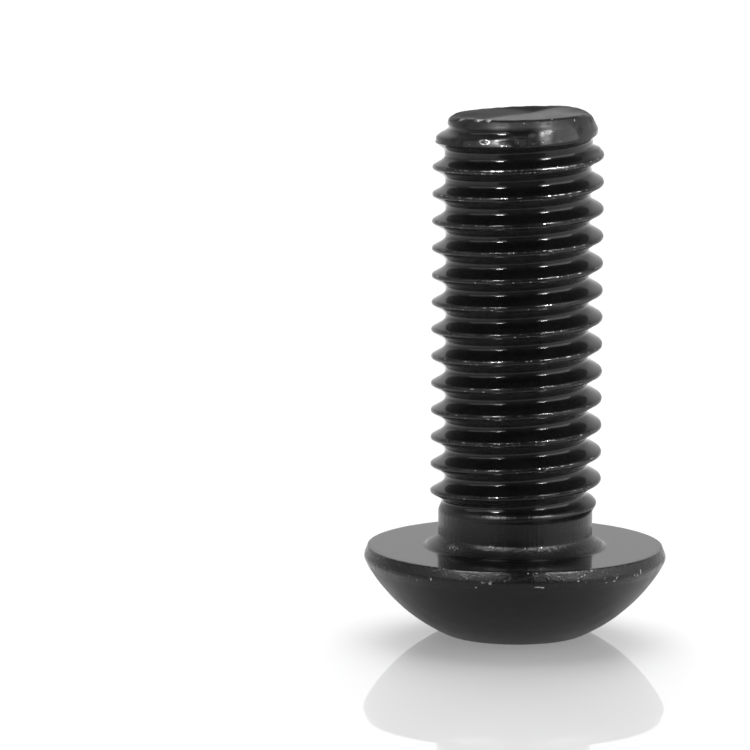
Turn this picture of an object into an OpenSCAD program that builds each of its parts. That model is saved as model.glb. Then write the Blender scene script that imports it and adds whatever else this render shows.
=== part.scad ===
// Button head machine screw with a hexagon socket, M8 x 20.
// It stands on the crown of its head: the crown lies in the plane z = 0,
// the axis is +Z and the thread points up.

/* [Thread] */
// Outside diameter over the thread crests
thread_d = 7.9; // [6.5:0.02:9]
// Pitch, the rise of the thread in one turn
pitch = 1.25; // [0.8:0.05:1.5]
// Length of the shank, from the bearing face to the free end
shank_l = 20; // [12:0.5:40]
// Plain neck between the bearing face and the end of the thread's run-out
neck_l = 1.5; // [1:0.1:4]
// Length over which the last turns fade into the neck
runout_l = 1; // [0.6:0.1:3]
// Angle round the axis at which the crest reaches the end face
thread_start = 157.5; // [0:7.5:352.5]

/* [Free end] */
// Diameter of the end face
end_d = 6.42; // [5.5:0.02:6.44]
// Length of the rounded nose, where the first turns are still incomplete
nose_l = 1.9; // [0.8:0.1:3]
// Diameter of the shallow cup in the end face
cup_d = 5.7; // [3:0.1:5.8]
// Depth of the cup
cup_h = 0.26; // [0.1:0.02:0.6]

/* [Head] */
// Largest diameter of the head
head_d = 13.9; // [12.6:0.1:15]
// Height of the head, from the crown to the bearing face
head_h = 4.05; // [3.8:0.05:4.6]
// Radius of the domed top
dome_r = 7.9; // [7.6:0.1:8.6]
// Diameter of the bearing face
bearing_d = 13.58; // [12:0.02:13.6]
// Rounding where the dome turns into the rim
rim_r = 0.35; // [0.2:0.05:0.4]
// Height of the rounded collar on the bearing face, round the neck
collar_h = 0.56; // [0.3:0.02:0.7]
// Rounding of the collar
collar_r = 0.93; // [0.8:0.01:1]
// How far inside the neck's surface that rounding has its centre
collar_in = 0.13; // [0:0.01:0.3]

/* [Socket] */
// Width across the flats of the hexagon
socket_af = 5.05; // [4.6:0.05:5.1]
// Depth from the crown to the end of the hexagon at its corners
socket_h = 2.5; // [1.8:0.1:2.8]
// Depth of the cone below the hexagon
socket_cone_h = 0.85; // [0.4:0.05:1]
// Diameter of the flat at the bottom of the cone
socket_floor_d = 2.2; // [1:0.1:3]
// Diameter of the chamfer round the mouth
mouth_d = 6.2; // [6:0.05:6.3]
// Full angle of that chamfer
mouth_angle = 110; // [90:5:120]
// Width of the flat ring on the crown, round the mouth
crown_w = 0.12; // [0.08:0.01:0.2]

/* [Fineness] */
// Facets round the thread, a multiple of sixteen
thread_steps = 48; // [32:16:64]

/* [Hidden] */
$fn = 128;
black_oxide = [0.10, 0.10, 0.11];

// Overlap that joins two solids without a shared face
joint = 0.05;
// Lead of the meshed thread over the exact neck, so that the one covers the other
cover = 0.02;

// Sixty degree thread profile: the height of its sharp triangle, and the depth
// that is left once the crest is cut off by 1/8 and the root by 1/4 of it
sharp_h = pitch * sqrt(3) / 2;
thread_h = 5 / 8 * sharp_h;
// The crest's flat is 1/8 of the pitch wide and the root's flat 1/4 of it.
// Points of one pitch, as [steps past the crest's middle, depth below the crest]
step = pitch / thread_steps;
crest_half = thread_steps / 16;
root_edge = thread_steps * 3 / 8;
profile = [
    [crest_half, 0],
    [root_edge, thread_h],
    [thread_steps - root_edge, thread_h],
    [thread_steps - crest_half, 0]
];
// The same points as a table that runs over the whole pitch
profile_table = concat([[0, 0]], profile, [[thread_steps, 0]]);

// A rolled thread's blank has the pitch diameter
thread_r = thread_d / 2;
neck_r = thread_r - 3 / 8 * sharp_h;
end_z = head_h + shank_l;
neck_top_z = head_h + neck_l;
thread_rows = floor((end_z - neck_top_z) / step);
thread_foot_z = end_z - thread_rows * step;
start_rows = round(thread_start / 360 * thread_steps);
// The mesh's lines run over these turns, so that in every column the first line
// is held at the end face and the last one at the foot
first_turn = -3;
last_turn = ceil(thread_rows / thread_steps) + 1;

// Centres of the dome and of the rim's rounding, and the ray on which they touch
crown_r = mouth_d / 2 + crown_w;
dome_z = sqrt(dome_r^2 - crown_r^2);
rim_x = head_d / 2 - rim_r;
rim_z = dome_z - sqrt((dome_r - rim_r)^2 - rim_x^2);
rim_ray = [rim_x, rim_z - dome_z] / (dome_r - rim_r);
// Angle of the straight band between the rounding and the bearing face
bearing_r = bearing_d / 2;
band_dx = bearing_r - rim_x;
band_dz = head_h - rim_z;
band_angle = atan2(band_dz, band_dx) - acos(rim_r / norm([band_dx, band_dz]));

// Radius of the thread's own surface, a number of steps past the crest
function profile_r(steps) =
    thread_r - lookup((steps % thread_steps + thread_steps) % thread_steps, profile_table);

// Radius of the rounded nose at a depth below the end face
function nose_r(depth) =
    thread_r - (thread_r - end_d / 2) * max(0, 1 - depth / nose_l)^2;

// How much of the thread is left at a height above the neck, from 0 to 1
function runout(height) =
    let (t = max(0, min(1, height / runout_l))) t^2 * (3 - 2 * t);

// Point of the threaded surface in one column, a number of rows below the end face
function thread_point(column, row) =
    let (
        depth = row * step,
        z = end_z - depth,
        full = min(profile_r(row + column - start_rows), nose_r(depth)),
        r = neck_r + cover + (full - neck_r - cover) * runout(z - neck_top_z),
        angle = 360 * column / thread_steps
    )
    [r * cos(angle), r * sin(angle), z];

// Ring of points at one radius and height, one for each column
function ring(r, z) = [
    for (column = [0 : thread_steps - 1])
        let (angle = 360 * column / thread_steps)
            [r * cos(angle), r * sin(angle), z]
];

// Threaded part of the shank, one closed mesh whose rows follow the helix.
// Each line of the mesh runs along one point of the profile. Where it leaves
// the threaded length it is held at the end face or at the foot.
module thread() {
    per_turn = len(profile);
    // Place of each helical line, counted in rows at column 0
    lines = [
        for (turn = [first_turn : last_turn])
            for (p = profile)
                turn * thread_steps + p[0] + start_rows
    ];
    count = len(lines);
    top = thread_steps * count;
    foot = top + thread_steps;
    plug = foot + thread_steps;
    centres = plug + thread_steps;

    function row_of(column, line) = max(0, min(thread_rows, lines[line] - column));
    function index(column, line) =
        column == thread_steps ? index(0, line - per_turn) :
        lines[line] - column <= 0 ? top + column :
        lines[line] - column >= thread_rows ? foot + column :
        column * count + line;
    function next(column) = (column + 1) % thread_steps;
    function solid_faces(corners) = [
        for (c = corners)
            if (c[0] != c[1] && c[1] != c[2] && c[2] != c[0]) c
    ];

    surface = [
        for (column = [0 : thread_steps - 1])
            for (line = [0 : count - 1])
                thread_point(column, row_of(column, line))
    ];
    top_ring = [for (column = [0 : thread_steps - 1]) thread_point(column, 0)];
    foot_ring = [for (column = [0 : thread_steps - 1]) thread_point(column, thread_rows)];
    plug_r = thread_r - thread_h - cover;
    plug_z = thread_foot_z - (neck_r - plug_r);

    skin = [
        for (column = [0 : thread_steps - 1])
            for (line = [per_turn : count - 2])
                let (
                    a = index(column, line),
                    b = index(column + 1, line),
                    c = index(column + 1, line + 1),
                    d = index(column, line + 1)
                )
                each solid_faces([[a, b, c], [a, c, d]])
    ];
    ends = [
        for (column = [0 : thread_steps - 1])
            let (n = next(column))
                each [
                    [centres, top + n, top + column],
                    [foot + column, foot + n, plug + n],
                    [foot + column, plug + n, plug + column],
                    [centres + 1, plug + column, plug + n]
                ]
    ];
    polyhedron(
        points = concat(
            surface, top_ring, foot_ring, ring(plug_r, plug_z),
            [[0, 0, end_z], [0, 0, plug_z]]
        ),
        faces = concat(skin, ends)
    );
}

// Shallow cup that rolling leaves in the end face
module end_cup() {
    cup_r = cup_d / 2;
    ball_r = (cup_r^2 + cup_h^2) / (2 * cup_h);
    translate([0, 0, end_z - cup_h + ball_r])
        sphere(r = ball_r);
}

// Plain neck, from inside the head up into the threaded part
module neck() {
    translate([0, 0, head_h - joint])
        cylinder(r = neck_r, h = thread_foot_z + joint / 2 - head_h + joint);
}

// Half section of the head: dome, rounded rim and straight band
module head_section() {
    rim = [rim_x, rim_z];
    reach = rim + 2 * rim_r * rim_ray;
    band_touch = rim + rim_r * [cos(band_angle), sin(band_angle)];
    band_reach = rim + 2 * rim_r * [cos(band_angle), sin(band_angle)];
    intersection() {
        translate([0, dome_z]) circle(r = dome_r);
        polygon([[0, 0], [head_d, 0], reach, rim, [0, rim_z]]);
    }
    intersection() {
        translate(rim) circle(r = rim_r);
        polygon([rim, reach, [head_d, rim_z], band_reach]);
    }
    polygon([[0, rim_z], rim, band_touch, [bearing_r, head_h], [0, head_h]]);
}

// Half section of the collar, a rounding that stands on the bearing face and
// meets the neck at collar_h
module collar_section() {
    rise = sqrt(collar_r^2 - collar_in^2);
    intersection() {
        translate([neck_r - collar_in, head_h + collar_h - rise]) circle(r = collar_r);
        translate([neck_r - collar_r / 2, head_h - joint]) square([2 * collar_r, collar_h + joint]);
    }
}

// Hexagon socket: chamfered mouth, hexagon, cone and flat floor
module socket() {
    sides = 6;
    corner_r = socket_af / 2 / cos(180 / sides);
    clear_r = corner_r + joint;
    socket_z = socket_h + socket_cone_h;
    cone_slope = (corner_r - socket_floor_d / 2) / socket_cone_h;
    mouth_r = mouth_d / 2;
    mouth_h = mouth_r / tan(mouth_angle / 2);
    intersection() {
        translate([0, 0, -joint])
            cylinder(r = corner_r, h = socket_z + 2 * joint, $fn = sides);
        rotate_extrude()
            polygon([
                [0, -2 * joint],
                [clear_r, -2 * joint],
                [clear_r, socket_h - (clear_r - corner_r) / cone_slope],
                [socket_floor_d / 2, socket_z],
                [0, socket_z]
            ]);
    }
    rotate_extrude()
        polygon([
            [0, -joint],
            [mouth_r + joint * tan(mouth_angle / 2), -joint],
            [0, mouth_h]
        ]);
}

// The whole screw, one forged and rolled piece
module screw() {
    color(black_oxide)
        difference() {
            union() {
                rotate_extrude() head_section();
                rotate_extrude() collar_section();
                neck();
                thread();
            }
            end_cup();
            socket();
        }
}

screw();
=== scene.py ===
import math

import bpy
import numpy as np
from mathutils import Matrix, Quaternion, Vector, noise


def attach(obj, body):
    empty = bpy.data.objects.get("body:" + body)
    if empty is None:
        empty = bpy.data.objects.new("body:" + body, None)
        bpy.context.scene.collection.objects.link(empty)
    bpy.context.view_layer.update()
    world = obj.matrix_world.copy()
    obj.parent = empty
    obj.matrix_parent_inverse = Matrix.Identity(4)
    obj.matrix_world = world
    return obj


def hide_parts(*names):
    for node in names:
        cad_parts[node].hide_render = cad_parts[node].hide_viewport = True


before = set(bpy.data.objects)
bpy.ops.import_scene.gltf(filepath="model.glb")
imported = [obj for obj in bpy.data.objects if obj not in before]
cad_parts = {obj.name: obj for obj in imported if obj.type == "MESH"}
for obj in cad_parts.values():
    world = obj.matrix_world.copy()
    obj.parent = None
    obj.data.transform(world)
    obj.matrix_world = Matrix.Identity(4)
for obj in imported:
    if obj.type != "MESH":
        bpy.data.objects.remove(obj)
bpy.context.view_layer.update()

# Sizes in millimetres, as in the CAD part
MM = 0.001
PITCH = 1.25
THREAD_R = 3.95
END_R = 3.21
NOSE_L = 1.9
CUP_R = 2.85
CUP_H = 0.26
HEAD_R = 6.95
HEAD_H = 4.05
SHANK_L = 20.0
NECK_L = 1.5
RUNOUT_L = 1.0
THREAD_START = 157.5
DOME_R = 7.9
BEARING_R = 6.79
RIM_R = 0.35
COLLAR_H = 0.56
SOCKET_AF = 5.05
SOCKET_H = 2.5
SOCKET_CONE_H = 0.85
FLOOR_R = 1.1
MOUTH_R = 3.1
MOUTH_ANGLE = 110.0
CROWN_W = 0.12

SHARP_H = PITCH * math.sqrt(3) / 2
NECK_R = THREAD_R - 3 / 8 * SHARP_H
END_Z = HEAD_H + SHANK_L
FOOT_Z = HEAD_H + NECK_L
CROWN_R = MOUTH_R + CROWN_W

# Power of the nose's rounding: one is a straight cone, two is rounded towards the thread
NOSE_POWER = 1.8

# The collar flares from the neck down to the bearing face over this width. With a power of one
# the flare is straight, with less it is hollow
COLLAR_W = 0.68
COLLAR_POWER = 0.74

# The hollow in the end face: direction of its deep side in degrees round the axis, how far along
# it the wall starts, the floor's greatest depth as a share of CUP_H, and the slopes of wall and lip
CUP_LOW = 141.0
CREASE = 0.93
FLOOR_SHARE = 0.47
WALL_SLOPE = 0.28
LIP_SLOPE = 0.55

# Columns of the mesh round the axis, a multiple of six so that the hexagon's corners fall on them
COLUMNS = 180
ANGLES = np.arange(COLUMNS) * (2 * math.pi / COLUMNS)

# The thread's profile: edges of the crest above and below its middle, edges of the root,
# which rolling has pushed towards the head, its depth, and the rounding of the edges
SAG = 0.05
CREST_ABOVE = 0.03
CREST_BELOW = 0.105
ROOT_START = PITCH * 3 / 8 - SAG
ROOT_END = PITCH * 5 / 8 - SAG
ROOT_DEPTH = 5 / 8 * SHARP_H
ROUND_ABOVE = 0.13
ROUND_BELOW = 0.05
ROUND_ROOT = 0.26
# The root is shallower near the free end, by this much there, fading over this length
END_FILL = 0.2
END_FADE = 2.8

# Rubbed places, as (degrees right of the front, height, width, tallness, strength)
RUBBED = (
    (-24.6, 23.15, 0.5, 0.2, 0.7),
    (-10.0, 23.05, 0.4, 0.08, 1.0),
    (17.9, 23.24, 0.3, 0.25, 0.6),
    (-35.0, 24.05, 0.35, 0.12, 1.5),
    (-25.0, 24.05, 0.22, 0.12, 1.5),
    (-55.0, 24.0, 0.5, 0.12, 1.0),
    (28.6, 24.05, 0.12, 0.12, 1.2),
    (75.0, 24.1, 0.9, 0.2, 0.8),
    (28.5, 22.05, 1.7, 0.12, 0.9),
    (-20.0, 21.93, 1.6, 0.1, 0.5),
    (-48.8, 4.35, 0.9, 0.2, 0.9),
    (-18.0, 4.55, 0.35, 0.14, 0.8),
    (19.0, 4.55, 0.25, 0.12, 0.8),
)
# Small bright nicks round the head's rim, as (degrees right of the front, height, width, tallness)
GLINTS = (
    (-33.2, 3.51, 0.035, 0.09),
    (-14.7, 3.31, 0.06, 0.035),
    (-9.2, 3.54, 0.09, 0.06),
    (9.0, 3.38, 0.22, 0.03),
    (10.6, 3.36, 0.1, 0.05),
    (24.6, 3.59, 0.05, 0.04),
    (37.2, 3.37, 0.05, 0.03),
    (41.0, 3.39, 0.08, 0.035),
    (55.8, 3.57, 0.035, 0.14),
)
# Small dent in the nose with a bright burr, as (degrees right of the front, height, width, tallness)
DENT = (-24.6, 23.18, 0.24, 0.1)

# Hollows and bulges near the free end, as (degrees right of the front, height, width, tallness,
# how far out)
PUSHED = (
    (-90.0, 23.54, 2.0, 0.28, -0.2),
    (-90.0, 23.13, 1.5, 0.1, 0.09),
    (-90.0, 22.8, 2.0, 0.12, -0.05),
    (90.0, 23.2, 2.5, 0.15, -0.08),
    (90.0, 22.5, 1.2, 0.07, 0.15),
)

# High and low stretches of the end's edge, as (degrees round the axis, width in degrees, height),
# how much the end rises over its radius, towards which side, and how much it rises as a whole
END_EDGE = (
    (180.0, 22.0, -0.13),
    (125.0, 30.0, -0.04),
    (50.0, 14.0, 0.04),
    (14.0, 14.0, -0.06),
    (-5.0, 18.0, -0.08),
)
END_TILT = 0.131
END_TILT_TO = -40.0
END_RISE = 0.035

# Rounded outer edge of the end face
RIM_EDGE = 0.07
TOP_Z = END_Z - RIM_EDGE


def smooth(t):
    """Smooth step of t, from 0 to 1."""
    t = np.clip(t, 0, 1)
    return t * t * (3 - 2 * t)


def soft_min(a, b, width):
    """Smaller of a and b, with the corner between them rounded over width."""
    near = np.maximum(width - np.abs(a - b), 0) / width
    return np.minimum(a, b) - near * near * width / 4


def field(points, scale, shift):
    """Smooth noise from -1 to 1 at each point, with scale waves a millimetre."""
    return np.array([noise.noise((x * scale + shift, y * scale, z * scale)) for x, y, z in points])


def profile_depth(phase, deepest):
    """Depth below the crest at a height above the crest's middle, from 0 to one pitch."""
    above = (phase - CREST_ABOVE) * math.sqrt(3)
    below = (PITCH - CREST_BELOW - phase) * math.sqrt(3)
    edge = np.where(above < below, ROUND_ABOVE, ROUND_BELOW)
    crest = -soft_min(-np.minimum(above, below), np.zeros_like(phase), edge)
    return soft_min(crest, deepest, ROUND_ROOT)


def line_places():
    """Places of the helical lines over one pitch, closest where the profile bends."""
    crest = np.linspace(-CREST_BELOW - 0.04, CREST_ABOVE + 0.09, 12)
    root = np.linspace(ROOT_START - 0.15, ROOT_END + 0.15, 13)
    rise = (crest[-1] + root[0]) / 2
    fall = (root[-1] + PITCH + crest[0]) / 2
    return np.concatenate([crest, [rise], root, [fall]])


def crest_height(angle):
    """Height of the crest that reaches the end face at THREAD_START."""
    return END_Z + PITCH * (angle / (2 * math.pi) - THREAD_START / 360)


def above_crest(angle, z):
    """Height above the middle of the crest below, from 0 to one pitch."""
    return np.mod(z - crest_height(angle), PITCH)


def nose_radius(z):
    """Radius of the rounded nose at a height."""
    return THREAD_R - (THREAD_R - END_R) * np.maximum(0, 1 - (END_Z - z) / NOSE_L) ** NOSE_POWER


def thread_radius(angle, z):
    """Radius of the threaded surface, without wear."""
    deepest = ROOT_DEPTH - END_FILL * np.exp((z - END_Z) / END_FADE)
    full = THREAD_R - profile_depth(above_crest(angle, z), deepest)
    full = soft_min(full, nose_radius(z), 0.06)
    return NECK_R + (full - NECK_R) * smooth((z - FOOT_Z) / RUNOUT_L)


def hexagon_radius():
    """Radius of the socket's wall in each column, with slightly blunt corners."""
    to_flat = np.mod(ANGLES, math.pi / 3) - math.pi / 6
    wall = SOCKET_AF / 2 / np.cos(to_flat)
    return np.minimum(wall, SOCKET_AF / 2 / math.cos(math.pi / 6) * 0.985)


def arc(centre, radius, start, end, count):
    """Points on an arc of the half section, angles in radians from the outward direction."""
    return [
        (centre[0] + radius * math.cos(a), centre[1] + radius * math.sin(a))
        for a in np.linspace(start, end, count)
    ]


def line(start, end, count):
    """Points from just after start up to end."""
    return [
        (start[0] + (end[0] - start[0]) * t, start[1] + (end[1] - start[1]) * t)
        for t in np.linspace(0, 1, count + 1)[1:]
    ]


def socket_rings():
    """Rings of the socket from its floor out to the crown, as (radius, height) arrays."""
    wall = hexagon_radius()
    corner = SOCKET_AF / 2 / math.cos(math.pi / 6)
    full = np.ones(COLUMNS)
    top = SOCKET_H + SOCKET_CONE_H
    rings = [(0.55 * full, top * full), (1.04 * full, top * full), (FLOOR_R * full, (top - 0.02) * full)]
    rise = SOCKET_CONE_H / (corner - FLOOR_R)
    for t in (0.1, 0.35, 0.65, 0.93, 1.0):
        radius = FLOOR_R + t * (wall - FLOOR_R)
        rings.append((radius, top - (radius - FLOOR_R) * rise))
    deep = rings[-1][1]
    mouth_h = MOUTH_R / math.tan(math.radians(MOUTH_ANGLE / 2))
    shallow = mouth_h * (1 - wall / MOUTH_R)
    for t in (0.04, 0.2, 0.4, 0.6, 0.8, 0.96, 1.0):
        rings.append((wall, deep + (shallow - deep) * t))
    for t in (0.12, 0.5, 0.85, 1.0):
        radius = wall + (MOUTH_R - wall) * t
        rings.append((radius, mouth_h * (1 - radius / MOUTH_R)))
    return rings


def head_section():
    """Half section of the head from the crown to the foot of the threaded part."""
    dome_z = math.sqrt(DOME_R**2 - CROWN_R**2)
    rim_x = HEAD_R - RIM_R
    rim_z = dome_z - math.sqrt((DOME_R - RIM_R) ** 2 - rim_x**2)
    rim_start = math.atan2(rim_z - dome_z, rim_x)
    band = (BEARING_R - rim_x, HEAD_H - rim_z)
    rim_end = math.atan2(band[1], band[0]) - math.acos(RIM_R / math.hypot(*band))
    dome_start = -math.acos(CROWN_R / DOME_R)
    section = [(CROWN_R, 0.0)]
    section += arc((0, dome_z), DOME_R, dome_start, rim_start, 30)[1:]
    section += arc((rim_x, rim_z), RIM_R, rim_start, rim_end, 7)[1:]
    edge = (BEARING_R, HEAD_H)
    section += line(section[-1], (edge[0] + 0.012, edge[1] - 0.04), 3)
    section += [(edge[0] - 0.008, edge[1] - 0.01), (edge[0] - 0.035, edge[1])]
    section += line(section[-1], (NECK_R + COLLAR_W, HEAD_H), 12)
    for t in np.linspace(0, math.pi / 2, 15)[1:]:
        out = COLLAR_W * max(math.cos(t), 0) ** (2 / COLLAR_POWER)
        section.append((NECK_R + out, HEAD_H + COLLAR_H * math.sin(t) ** (2 / COLLAR_POWER)))
    section += line(section[-1], (NECK_R, FOOT_Z), 7)
    return section


def end_rings():
    """Rings of the end face from the top of the threaded part to the middle, as (radius, height)."""
    edge = [(-0.012, -0.03), (-0.035, -0.01), (-0.07, 0.0), (-0.15, 0.0)]
    rings = [(END_R + dr, np.full(COLUMNS, END_Z + dz)) for dr, dz in edge]
    for r in np.linspace(CUP_R + 0.12, 0.12, 24):
        rings.append((r, cup_height(r)))
    return rings


def cup_height(r):
    """Height of the end's hollow: a floor that rises to one side and a wider wall on the other."""
    along = r * np.cos(ANGLES - math.radians(CUP_LOW))
    flush = 1 - 0.8 * smooth((r * np.cos(ANGLES) - 0.3) / 2.2)
    floor = -FLOOR_SHARE * CUP_H * (1 + along / CUP_R) ** 2 * flush
    wall = floor + WALL_SLOPE * (along - CREASE)
    lip = (r - CUP_R) * LIP_SLOPE
    hollow = -soft_min(-floor, -wall, 0.02)
    return END_Z + np.minimum(-soft_min(-hollow, -lip * np.ones(COLUMNS), 0.04), 0.0)


class Shell:
    """Vertices and faces of the one closed mesh, built ring by ring from the socket to the end."""

    def __init__(self):
        self.radius = []
        self.angle = []
        self.height = []
        self.count = 0
        self.faces = []

    def add(self, radius, angle, height):
        """Adds vertices and returns their numbers."""
        self.radius.append(radius)
        self.angle.append(angle)
        self.height.append(height)
        self.count += len(radius)
        return np.arange(self.count - len(radius), self.count)

    def ring(self, radius, height):
        """Adds one ring with a vertex in each column."""
        full = np.ones(COLUMNS)
        return self.add(radius * full, ANGLES, height * full)

    def join(self, low, high):
        """Quads between two rings, facing outwards where the rings go from low to high."""
        for j in range(COLUMNS):
            n = (j + 1) % COLUMNS
            self.faces.append((low[j], low[n], high[n], high[j]))

    def fan(self, ring, centre, outward):
        """Triangles from a ring to one centre vertex."""
        for j in range(COLUMNS):
            n = (j + 1) % COLUMNS
            face = (ring[j], ring[n], centre)
            self.faces.append(face if outward else face[::-1])

    def thread(self, foot, top):
        """Helical grid between the foot ring and the top ring."""
        places = line_places()
        per_turn = len(places)
        turns = math.ceil((TOP_Z - FOOT_Z) / PITCH) + 3
        lines = np.concatenate([places + PITCH * (t - turns + 1) for t in range(turns + 2)])
        heights = crest_height(ANGLES)[:, None] + lines[None, :]
        numbers = np.empty(heights.shape, int)
        low = heights <= FOOT_Z + 1e-4
        high = heights >= TOP_Z - 1e-4
        numbers[low] = np.broadcast_to(foot[:, None], heights.shape)[low]
        numbers[high] = np.broadcast_to(top[:, None], heights.shape)[high]
        free = ~(low | high)
        angles = np.broadcast_to(ANGLES[:, None], heights.shape)[free]
        numbers[free] = self.add(thread_radius(angles, heights[free]), angles, heights[free])
        wrapped = np.vstack([numbers[:, : len(lines) - per_turn], numbers[0:1, per_turn:]])
        for j in range(COLUMNS):
            here, there = wrapped[j], wrapped[j + 1]
            for k in range(len(here) - 1):
                corners = (here[k], there[k], there[k + 1], here[k + 1])
                kept = [c for i, c in enumerate(corners) if c != corners[i - 1]]
                if len(set(kept)) > 2:
                    self.faces.append(tuple(kept))


def build_shell():
    """The clean form of the screw, without wear."""
    shell = Shell()
    centre = shell.add(np.zeros(1), np.zeros(1), np.full(1, SOCKET_H + SOCKET_CONE_H))
    rings = [shell.ring(r, z) for r, z in socket_rings() + head_section()]
    shell.fan(rings[0], centre[0], False)
    for low, high in zip(rings, rings[1:]):
        shell.join(low, high)
    top = shell.ring(thread_radius(ANGLES, TOP_Z), TOP_Z)
    shell.thread(rings[-1], top)
    last = top
    for r, z in end_rings():
        ring = shell.ring(r, z)
        shell.join(last, ring)
        last = ring
    centre = shell.add(np.zeros(1), np.zeros(1), cup_height(0.0)[:1])
    shell.fan(last, centre[0], True)
    return shell


def turned_from(angle, degrees):
    """Angle past a direction round the axis, from -pi to pi."""
    return np.mod(angle - math.radians(degrees) + math.pi, 2 * math.pi) - math.pi


def spots(angle, height, places):
    """Sum of soft round spots, each (degrees right of the front, height, width, tallness, strength)."""
    total = np.zeros_like(angle)
    for degrees, z, width, tall, strength in places:
        away = turned_from(angle, degrees - 90)
        total += strength * np.exp(-((away * THREAD_R / width) ** 2) - ((height - z) / tall) ** 2)
    return total


class Skin:
    """The shell's vertices round the axis, noises at their first places, and their wear."""

    def __init__(self, shell):
        self.radius = np.concatenate(shell.radius)
        self.angle = np.concatenate(shell.angle)
        self.height = np.concatenate(shell.height)
        places = self.points()
        self.coarse = field(places, 0.9, 11.0)
        self.middle = field(places, 2.6, 37.0)
        self.fine = field(places, 7.0, 71.0)
        self.threaded = (self.height > FOOT_Z) & (self.height < TOP_Z)
        self.outside = self.height < FOOT_Z
        self.wear = np.zeros_like(self.radius)

    def points(self):
        """Positions in millimetres."""
        x = self.radius * np.cos(self.angle)
        y = self.radius * np.sin(self.angle)
        return np.stack([x, y, self.height], axis=1)

    def grain(self, base, middle, fine):
        """Patches from 0 to 1, from shares of the middle and the fine noise."""
        return smooth(base + middle * self.middle + fine * self.fine)

    def rub(self, amount):
        """Raises the wear to amount where it is less."""
        self.wear = np.maximum(self.wear, amount)


def wear_crests(skin):
    """Crests lose a little where they rubbed, and the rolled seam shows as a broken groove."""
    crest = skin.threaded * smooth((skin.radius - THREAD_R + 0.09) / 0.08)
    at_seam = np.mod(above_crest(skin.angle, skin.height) + 0.01, PITCH) < 0.02
    seam = skin.threaded * at_seam * (skin.radius > THREAD_R - 0.02)
    skin.radius = skin.radius - crest * (0.012 + 0.02 * np.maximum(skin.middle, 0) + 0.012 * skin.fine)
    skin.radius = skin.radius - seam * 0.03 * smooth(0.3 + 1.5 * skin.coarse)
    skin.rub(crest * skin.grain(0.25, 1.2, 0.5) * 0.6)


def wear_nose(skin):
    """Rubs the incomplete crests on the nose and pushes it about. Returns where it is unrolled."""
    near_end = smooth((skin.height - END_Z + NOSE_L) / 0.6)
    nose = skin.threaded * near_end * smooth((skin.radius - nose_radius(skin.height) + 0.05) / 0.04)
    skin.radius = skin.radius - nose * 0.012 * skin.middle
    skin.rub(nose * skin.grain(0.1, 1.2, 0.6) * 0.6)
    skin.radius = skin.radius + spots(skin.angle, skin.height, PUSHED) * skin.threaded
    return nose


def roughen_head(skin):
    """The dome and rim are slightly uneven from forging, and the rim is rubbed."""
    in_dome = skin.outside * (skin.radius > CROWN_R + 0.2) * (skin.height < HEAD_H - 0.3)
    dome = in_dome * smooth((skin.radius - CROWN_R - 0.2) / 0.5)
    push = dome * (0.008 * skin.coarse + 0.006 * skin.middle + 0.012 * np.maximum(skin.fine - 0.25, 0))
    skin.radius = skin.radius + push * 0.7
    skin.height = skin.height + push * -0.7
    past_edge = smooth((skin.radius - BEARING_R + 0.12) / 0.1)
    band = skin.outside * past_edge * smooth((skin.height - 3.1) / 0.3)
    skin.radius = skin.radius - band * (0.01 + 0.014 * skin.fine + 0.01 * skin.middle)
    skin.rub(band * skin.grain(0.3, 0.9, 0.7) * 0.8)


def scuff_mouth(skin):
    """Scuffs the chamfer round the socket."""
    on_chamfer = (skin.radius > 2.3) * (skin.radius < CROWN_R + 0.01)
    mouth = skin.outside * (skin.height < 0.45) * on_chamfer
    edge = mouth * smooth((skin.radius - MOUTH_R + 0.15) / 0.1)
    skin.height = skin.height + edge * (0.006 + 0.01 * skin.fine)
    skin.rub(mouth * skin.grain(0.35, 0.9, 0.6) * 0.6)


def shear_end(skin):
    """The end face was sheared off a little lopsided, and its rim is nicked."""
    end = smooth((skin.height - END_Z + 0.9) / 0.9)
    aside = 0.05 * smooth((skin.height - END_Z + 1.6) / 1.4) * np.cos(skin.angle)
    skin.radius = skin.radius + aside * smooth(skin.radius / 3)
    edge = END_RISE + END_TILT * np.cos(skin.angle - math.radians(END_TILT_TO)) * skin.radius / END_R
    for degrees, width, rise in END_EDGE:
        away = turned_from(skin.angle, degrees)
        edge += rise * np.exp(-((away / math.radians(width)) ** 2)) * smooth((skin.radius - 1.5) / 1.2)
    skin.height = skin.height + end * edge
    rim = smooth((skin.height - END_Z + 0.25) / 0.15) * smooth((skin.radius - CUP_R) / 0.08)
    skin.height = skin.height - rim * 0.02 * np.maximum(skin.middle, -0.3) - rim * 0.012 * skin.fine
    skin.rub(rim * skin.grain(0.1, 0.8, 0.9) * 0.8)


def build_screw():
    """The detailed screw as one mesh object."""
    shell = build_shell()
    skin = Skin(shell)
    wear_crests(skin)
    unrolled = wear_nose(skin)
    roughen_head(skin)
    scuff_mouth(skin)
    skin.rub(spots(skin.angle, skin.height, RUBBED) * smooth((skin.radius - CUP_R) / 0.2))
    shear_end(skin)
    faces = [tuple(int(i) for i in face) for face in shell.faces]
    mesh = bpy.data.meshes.new("screw_finish")
    mesh.from_pydata((skin.points() * MM).tolist(), [], faces)
    mesh.validate()
    mesh.update()
    mesh.shade_smooth()
    mesh.set_sharp_from_angle(angle=math.radians(38))
    for name, values in (("wear", skin.wear), ("unrolled", unrolled)):
        mesh.attributes.new(name, "FLOAT", "POINT").data.foreach_set("value", values)
    screw = bpy.data.objects.new("screw_finish", mesh)
    bpy.context.scene.collection.objects.link(screw)
    return screw


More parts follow.
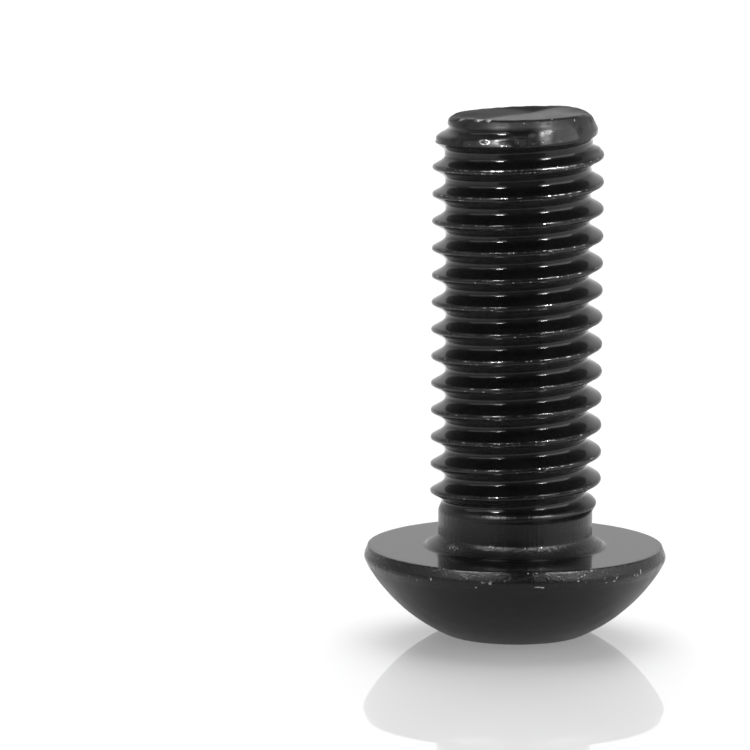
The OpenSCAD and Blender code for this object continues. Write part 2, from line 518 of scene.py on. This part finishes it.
class Nodes:
    """Short calls for building a node tree."""

    def __init__(self, tree):
        self.tree = tree
        tree.nodes.clear()

    def add(self, kind, inputs=(), **settings):
        """Adds a node, sets its settings, and links or sets its inputs by name or number."""
        node = self.tree.nodes.new(kind)
        for name, value in settings.items():
            setattr(node, name, value)
        for name, value in dict(inputs).items():
            if isinstance(value, bpy.types.NodeSocket):
                self.tree.links.new(value, node.inputs[name])
            else:
                node.inputs[name].default_value = value
        return node

    def math(self, operation, a, b=0.0):
        """Value of one math operation."""
        return self.add("ShaderNodeMath", {0: a, 1: b}, operation=operation).outputs[0]

    def ramp(self, value, low, high, to_low=0.0, to_high=1.0):
        """Smooth step of value between low and high."""
        inputs = {"Value": value, "From Min": low, "From Max": high, "To Min": to_low, "To Max": to_high}
        return self.add("ShaderNodeMapRange", inputs, interpolation_type="SMOOTHSTEP").outputs[0]

    def noise(self, vector, scale, detail=3.0, rough=0.55):
        """Noise value at a vector."""
        inputs = {"Vector": vector, "Scale": scale, "Detail": detail, "Roughness": rough}
        return self.add("ShaderNodeTexNoise", inputs).outputs["Fac"]

    def mix(self, factor, a, b):
        """Colour between a and b."""
        node = self.add("ShaderNodeMix", data_type="RGBA")
        for socket, value in zip((node.inputs["Factor"], node.inputs[6], node.inputs[7]), (factor, a, b)):
            if isinstance(value, bpy.types.NodeSocket):
                self.tree.links.new(value, socket)
            else:
                socket.default_value = value
        return node.outputs[2]


def new_material(name):
    """New material and its empty node tree."""
    material = bpy.data.materials.new(name)
    material.use_nodes = True
    return material, Nodes(material.node_tree)


class Places:
    """Values that the finish is made from: place on the screw in millimetres, and noises."""

    def __init__(self, n):
        place = n.add("ShaderNodeTexCoord").outputs["Object"]
        self.mm = n.add("ShaderNodeVectorMath", {0: place, "Scale": 1000.0}, operation="SCALE").outputs[0]
        self.x, self.y, self.z = n.add("ShaderNodeSeparateXYZ", {0: self.mm}).outputs
        self.angle = n.math("ARCTAN2", self.y, self.x)
        square = n.math("ADD", n.math("MULTIPLY", self.x, self.x), n.math("MULTIPLY", self.y, self.y))
        self.radius = n.math("SQRT", square)
        across = n.math("MULTIPLY", self.y, 0.2)
        turned = n.add("ShaderNodeCombineXYZ", {0: self.radius, 1: self.z, 2: across})
        self.streak = n.noise(turned.outputs[0], 14.0)
        self.mottle = n.noise(self.mm, 1.3)
        self.speck = n.noise(self.mm, 16.0, 3.0, 0.6)
        self.grit = n.noise(self.mm, 34.0, 2.0, 0.6)
        self.wear = n.add("ShaderNodeAttribute", attribute_name="wear").outputs["Fac"]
        self.unrolled = n.add("ShaderNodeAttribute", attribute_name="unrolled").outputs["Fac"]


def crest_lines(n, p):
    """Broken bright lines along the crest's two edges, stronger on the turns near the free end."""
    turn = n.math("DIVIDE", p.angle, 2 * math.pi)
    pitches = n.math("DIVIDE", n.math("SUBTRACT", p.z, END_Z), PITCH)
    phase = n.math("ADD", n.math("SUBTRACT", pitches, turn), THREAD_START / 360 + 0.5)
    above = n.math("MULTIPLY", n.math("SUBTRACT", n.math("FRACT", phase), 0.5), PITCH)
    along = n.add("ShaderNodeVectorMath", {0: p.mm, 1: (1, 1, 0.4)}, operation="MULTIPLY").outputs[0]
    near_end = n.ramp(p.z, END_Z - 5.5, END_Z - 2.2, 0.0, 0.05)
    worn = n.math("ADD", near_end, n.math("MULTIPLY", p.wear, 0.05))
    on_crest = n.ramp(p.radius, THREAD_R - 0.09, THREAD_R - 0.05)
    crest = n.math("MULTIPLY", on_crest, n.ramp(p.z, FOOT_Z, FOOT_Z + 0.6))
    lines = 0.0
    for place, waves, least in ((CREST_ABOVE - 0.005, 3.1, 0.57), (-CREST_BELOW + 0.01, 6.3, 0.61)):
        away = n.math("ABSOLUTE", n.math("SUBTRACT", above, place))
        broken = n.ramp(n.math("ADD", n.noise(along, waves, 4.0, 0.7), worn), least, least + 0.06)
        one = n.math("MULTIPLY", n.ramp(away, 0.008, 0.026, 1.0, 0.0), broken)
        lines = n.math("MAXIMUM", lines, one)
    return n.math("MULTIPLY", lines, crest)


def away_from(n, p, place):
    """Ragged distance from a place on the surface, one at its edge."""
    degrees, middle, width, tall = place
    turned = n.math("SUBTRACT", p.angle, math.radians(degrees - 90))
    sideways = n.math("DIVIDE", n.math("MULTIPLY", turned, p.radius), width)
    upwards = n.math("DIVIDE", n.math("SUBTRACT", p.z, middle), tall)
    square = n.math("ADD", n.math("MULTIPLY", sideways, sideways), n.math("MULTIPLY", upwards, upwards))
    return n.math("ADD", n.math("SQRT", square), n.math("MULTIPLY", n.math("SUBTRACT", p.speck, 0.5), 0.8))


def rim_glints(n, p):
    """Bright nicks round the head's rim."""
    nearest = 9.0
    for place in GLINTS:
        nearest = n.math("MINIMUM", nearest, away_from(n, p, place))
    return n.ramp(nearest, 0.5, 1.1, 1.0, 0.0)


def dent_burr(n, p):
    """Bright ring round the dent in the nose."""
    away = away_from(n, p, DENT)
    ring = n.ramp(n.math("ABSOLUTE", n.math("SUBTRACT", away, 1.0)), 0.08, 0.22, 1.0, 0.0)
    broken = n.math("MULTIPLY", ring, n.ramp(p.speck, 0.4, 0.5))
    return n.math("MULTIPLY", broken, n.ramp(p.radius, THREAD_R - 0.5, THREAD_R - 0.4))


def across_end(n, p):
    """Distance from the axis towards the hollow's deep side."""
    low = math.radians(CUP_LOW)
    return n.math("ADD", n.math("MULTIPLY", p.x, math.cos(low)), n.math("MULTIPLY", p.y, math.sin(low)))


def rust_tinge(n, p):
    """Faint brown stain along the crease in the end face."""
    away = n.math("ABSOLUTE", n.math("SUBTRACT", across_end(n, p), CREASE))
    stain = n.math("MULTIPLY", n.ramp(away, 0.05, 0.5, 0.8, 0.0), n.ramp(p.mottle, 0.4, 0.6))
    return n.math("MULTIPLY", stain, n.ramp(p.z, END_Z - 0.5, END_Z - 0.4))


def on_neck(n, p):
    """One on the neck and the collar, fading out where the thread starts."""
    below_thread = n.ramp(p.z, FOOT_Z + 0.4, FOOT_Z + 0.6, 1.0, 0.0)
    return n.math("MULTIPLY", n.ramp(p.z, HEAD_H + 0.03, HEAD_H + 0.12), below_thread)


def oxide_roughness(n, p):
    """Roughness: glossy thread, duller head and end face, dullest where the end was sheared."""
    on_end = n.ramp(p.z, END_Z - 0.4, END_Z - 0.1)
    sheared = n.math("MULTIPLY", n.ramp(across_end(n, p), CREASE - 0.1, CREASE + 0.1), on_end)
    on_crest = n.ramp(p.radius, THREAD_R - 0.12, THREAD_R - 0.06)
    parts = (
        n.ramp(p.mottle, 0.3, 0.7, 0.05, 0.09),
        n.ramp(p.streak, 0.35, 0.7, 0.0, 0.04),
        n.ramp(p.z, HEAD_H - 1.0, HEAD_H - 0.6, 0.31, 0.08),
        n.ramp(p.z, HEAD_H - 0.1, HEAD_H - 0.02, 0.0, -0.08),
        n.ramp(p.wear, 0.1, 0.5, 0.0, 0.1),
        n.math("MULTIPLY", on_crest, n.ramp(p.z, FOOT_Z, FOOT_Z + 0.2, 0.0, 0.07)),
        n.math("MULTIPLY", n.ramp(p.unrolled, 0.3, 0.8), n.ramp(p.mottle, 0.3, 0.7, 0.05, 0.18)),
        n.math("MULTIPLY", on_neck(n, p), 0.16),
        n.math("MULTIPLY", on_end, 0.25),
        n.math("MULTIPLY", sheared, 0.2),
    )
    rough = parts[0]
    for part in parts[1:]:
        rough = n.math("ADD", rough, part)
    return rough


def oxide_relief(n, p):
    """Height of the fine relief: faint drawing marks, grit where worn, and grains on the rim."""
    near_rim = n.ramp(p.radius, HEAD_R - 0.35, HEAD_R - 0.1)
    in_band = n.math("MULTIPLY", near_rim, n.ramp(p.z, HEAD_H - 1.1, HEAD_H - 0.8))
    grains = n.math("MULTIPLY", in_band, n.noise(p.mm, 11.0, 2.0, 0.5))
    upright = n.add("ShaderNodeVectorMath", {0: p.mm, 1: (1, 1, 0.1)}, operation="MULTIPLY").outputs[0]
    pulled = n.math("MULTIPLY", on_neck(n, p), n.noise(upright, 9.0, 3.0, 0.6))
    pulled = n.math("MULTIPLY", pulled, n.ramp(p.z, HEAD_H + 0.6, HEAD_H + 0.9, 3.2, 1.8))
    height = n.math("ADD", n.math("MULTIPLY", p.streak, 0.07), n.math("MULTIPLY", p.speck, 0.12))
    height = n.math("ADD", height, pulled)
    height = n.math("ADD", height, n.math("MULTIPLY", p.wear, p.grit))
    return n.math("ADD", height, n.math("MULTIPLY", grains, 3.0))


def black_oxide():
    """Blackened steel: thin dark oxide, rubbed bright at crests and edges; the head's oxide is painted
    darker and the thread's lighter, as painted shade and light.
    """
    material, n = new_material("black_oxide_steel")
    p = Places(n)
    grainy = n.math("ADD", p.wear, n.math("MULTIPLY", n.math("SUBTRACT", p.speck, 0.5), 2.5))
    rubbed = n.ramp(grainy, 0.9, 1.05)
    nicks = n.math("MAXIMUM", dent_burr(n, p), rim_glints(n, p))
    bare = n.math("MAXIMUM", n.math("MAXIMUM", crest_lines(n, p), nicks), rubbed)
    patches = n.ramp(p.mottle, 0.35, 0.65, 0.6, 1.0)
    # The mottle is the oxide's own uneven tone. The ramp over height is painted shade and light: one and
    # the same finish is made darker on the head and lighter on the thread.
    mottle_and_painted_head_shade = n.math("MULTIPLY", patches, n.ramp(p.z, HEAD_H - 0.2, HEAD_H + 0.2, 0.3, 1.0))
    oxide_and_painted_shade = n.mix(mottle_and_painted_head_shade, (0.004, 0.004, 0.0042, 1), (0.016, 0.0159, 0.0163, 1))
    oxide_and_painted_shade = n.mix(rust_tinge(n, p), oxide_and_painted_shade, (0.032, 0.021, 0.017, 1))
    colour = n.mix(bare, oxide_and_painted_shade, (0.36, 0.35, 0.36, 1))
    colour = n.mix(n.ramp(grainy, 1.1, 1.2), colour, (0.8, 0.79, 0.78, 1))
    bump = n.add("ShaderNodeBump", {"Height": oxide_relief(n, p), "Strength": 0.35, "Distance": 0.00003})
    shader = n.add("ShaderNodeBsdfPrincipled", {
        "Base Color": colour, "Roughness": oxide_roughness(n, p), "Metallic": bare,
        "Normal": bump.outputs[0], "IOR": 1.34,
    }, distribution="GGX")
    n.add("ShaderNodeOutputMaterial", {"Surface": shader.outputs[0]})
    return material


def floor_finish():
    """Pale glossy sheet."""
    material, n = new_material("pale_floor")
    shader = n.add("ShaderNodeBsdfPrincipled", {
        "Base Color": (0.92, 0.92, 0.925, 1), "Roughness": 0.6, "Specular IOR Level": 0.0,
        "Coat Weight": 1.0, "Coat Roughness": 0.02, "Coat IOR": 1.33,
        "Emission Color": (1, 1, 1, 1), "Emission Strength": 0.33,
    })
    n.add("ShaderNodeOutputMaterial", {"Surface": shader.outputs[0]})
    return material


def build_sheet(name, corners, material):
    """Flat piece with four corners."""
    mesh = bpy.data.meshes.new(name)
    mesh.from_pydata(corners, [], [(0, 1, 2, 3)])
    mesh.materials.append(material)
    sheet = bpy.data.objects.new(name, mesh)
    bpy.context.scene.collection.objects.link(sheet)
    return sheet


def build_floor():
    """Large flat floor just under the crown."""
    half = 1.5
    drop = -0.00001
    corners = [(-half, -half, drop), (half, -half, drop), (half, half, drop), (-half, half, drop)]
    floor = build_sheet("floor", corners, floor_finish())


def build_world():
    """White surroundings with a darker front and a dimmer ceiling."""
    world = bpy.data.worlds.new("studio")
    bpy.context.scene.world = world
    world.use_nodes = True
    n = Nodes(world.node_tree)
    way = n.add("ShaderNodeTexCoord").outputs["Generated"]
    x, y, z = n.add("ShaderNodeSeparateXYZ", {0: way}).outputs
    # Dark sector in front, a little to the right
    flat = n.math("SQRT", n.math("ADD", n.math("MULTIPLY", x, x), n.math("MULTIPLY", y, y)))
    middle = math.radians(7.5)
    aside = n.math("MULTIPLY", x, math.sin(middle))
    toward = n.math("SUBTRACT", aside, n.math("MULTIPLY", y, math.cos(middle)))
    ahead = n.math("DIVIDE", toward, n.math("MAXIMUM", flat, 0.001))
    front = n.ramp(ahead, 0.875, 0.9, 1.03, 0.15)
    # The ceiling starts higher in the back corners
    corners = n.math("MULTIPLY", n.ramp(n.math("ABSOLUTE", x), 0.12, 0.24), n.ramp(y, 0.4, 0.7))
    lowered = n.math("SUBTRACT", z, n.math("MULTIPLY", corners, 0.2))
    ceiling = n.ramp(lowered, 0.2, 0.45, 1.0, 0.45)
    # The front's left side, the back and the far left are dimmer, and the far right is brighter
    forward = n.ramp(y, -0.1, 0.1, 1.0, 0.0)
    left_side = n.math("MULTIPLY", forward, n.ramp(x, -0.3, -0.1, 1.0, 0.0))
    dimmed = n.math("SUBTRACT", 1.0, n.math("MULTIPLY", left_side, 0.35))
    behind = n.ramp(y, 0.1, 0.6, 1.0, 0.78)
    left_end = n.ramp(x, -0.98, -0.6, 0.75, 1.0)
    right_end = n.ramp(x, 0.6, 0.9, 1.0, 1.5)
    sides = n.math("MULTIPLY", n.math("MULTIPLY", left_end, right_end), behind)
    light = n.math("MULTIPLY", n.math("MULTIPLY", front, ceiling), n.math("MULTIPLY", dimmed, sides))
    shader = n.add("ShaderNodeBackground", {"Color": (1, 1, 1, 1), "Strength": light})
    n.add("ShaderNodeOutputWorld", {"Surface": shader.outputs[0]})


def painted_shade_card_finish():
    """Black from above, clear from below: painted shade, a dark sheet that only shows in reflections."""
    material, n = new_material("painted_shade_black")
    black = n.add("ShaderNodeBsdfDiffuse", {"Color": (0.1, 0.1, 0.1, 1)})
    clear = n.add("ShaderNodeBsdfTransparent")
    from_below = n.add("ShaderNodeNewGeometry").outputs["Backfacing"]
    shader = n.add("ShaderNodeMixShader", {0: from_below, 1: black.outputs[0], 2: clear.outputs[0]})
    n.add("ShaderNodeOutputMaterial", {"Surface": shader.outputs[0]})
    return material


def build_painted_shade_card():
    """Black card low in front of the screw, seen only in reflections: painted shade that darkens the floor
    in front where the screw reflects it.
    """
    near, far = -0.033, -0.3
    rise = 0.0004
    left, right = math.tan(math.radians(-30)), math.tan(math.radians(42))
    ends = ((near, left), (far, left), (far, right), (near, right))
    corners = [(-y * side, y, rise) for y, side in ends]
    painted_shade_card = build_sheet("painted_shade_card", corners, painted_shade_card_finish())
    # Painted shade: the card is hidden from the camera, from diffuse light and from shadows, so it only
    # darkens reflections.
    painted_shade_card.visible_camera = False
    painted_shade_card.visible_diffuse = False
    painted_shade_card.visible_shadow = False


def area_light(name, azimuth, elevation, distance, size, radiance, reflected=True):
    """Rectangular light that faces the screw, azimuth in degrees right of the camera's side."""
    a, e = math.radians(azimuth), math.radians(elevation)
    back = Vector((math.sin(a) * math.cos(e), -math.cos(a) * math.cos(e), math.sin(e)))
    data = bpy.data.lights.new(name, "AREA")
    data.shape = "RECTANGLE"
    data.size, data.size_y = size
    data.energy = radiance * math.pi * size[0] * size[1]
    lamp = bpy.data.objects.new(name, data)
    lamp.location = Vector((0, 0, 0.012)) + back * distance
    lamp.rotation_mode = "QUATERNION"
    lamp.rotation_quaternion = back.to_track_quat("Z", "Y")
    lamp.visible_camera = False
    lamp.visible_glossy = reflected
    lamp.visible_diffuse = not reflected
    bpy.context.scene.collection.objects.link(lamp)


def build_lights():
    """Two small bright lamps, each over a soft box, a wide screen on each side, two soft lights behind."""
    area_light("lamp_left", -38, 46, 0.3, (0.042, 0.04), 130)
    area_light("lamp_right", 48, 46, 0.3, (0.042, 0.04), 130)
    area_light("box_left", -34, 27, 0.3, (0.12, 0.09), 4.6)
    area_light("box_right", 43, 31, 0.3, (0.085, 0.11), 4.6)
    area_light("screen_left", -68, 26, 0.32, (0.22, 0.15), 1.3)
    area_light("screen_right", 74, 28, 0.32, (0.26, 0.16), 2.4)
    area_light("soft_over", 180, 60, 0.8, (0.8, 0.5), 2.0, reflected=False)
    area_light("soft_back", 180, 35, 0.8, (0.5, 0.4), 5.2, reflected=False)


def build_camera():
    """Camera at the photo's viewing angle, aimed a little left of the screw."""
    elevation = math.radians(9.39)
    distance = 0.3585
    roll = math.radians(0.51)
    focal_px = 7814.0
    frame_px = 750.0
    target = Vector((0, 0, 0.012))
    target_px = (516.45, 374.36)
    sensor = 36.0
    back = Vector((0, -math.cos(elevation), math.sin(elevation)))
    data = bpy.data.cameras.new("camera")
    data.sensor_width = sensor
    data.lens = sensor * focal_px / frame_px
    data.clip_start, data.clip_end = 0.01, 20.0
    camera = bpy.data.objects.new("camera", data)
    camera.location = target + back * distance
    half = frame_px / 2
    seen = Vector((target_px[0] - half, half - target_px[1], -focal_px)).normalized()
    aim = seen.rotation_difference(Vector((0, 0, -1)))
    level = back.to_track_quat("Z", "Y")
    camera.rotation_mode = "QUATERNION"
    camera.rotation_quaternion = level @ Quaternion((0, 0, 1), roll) @ aim
    bpy.context.scene.collection.objects.link(camera)
    bpy.context.scene.camera = camera


build_camera()
build_floor()
build_painted_shade_card()
build_world()
build_lights()
screw = build_screw()
screw.data.materials.append(black_oxide())
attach(screw, "root")
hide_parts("screw")
bpy.context.scene.view_settings.view_transform = "Standard"
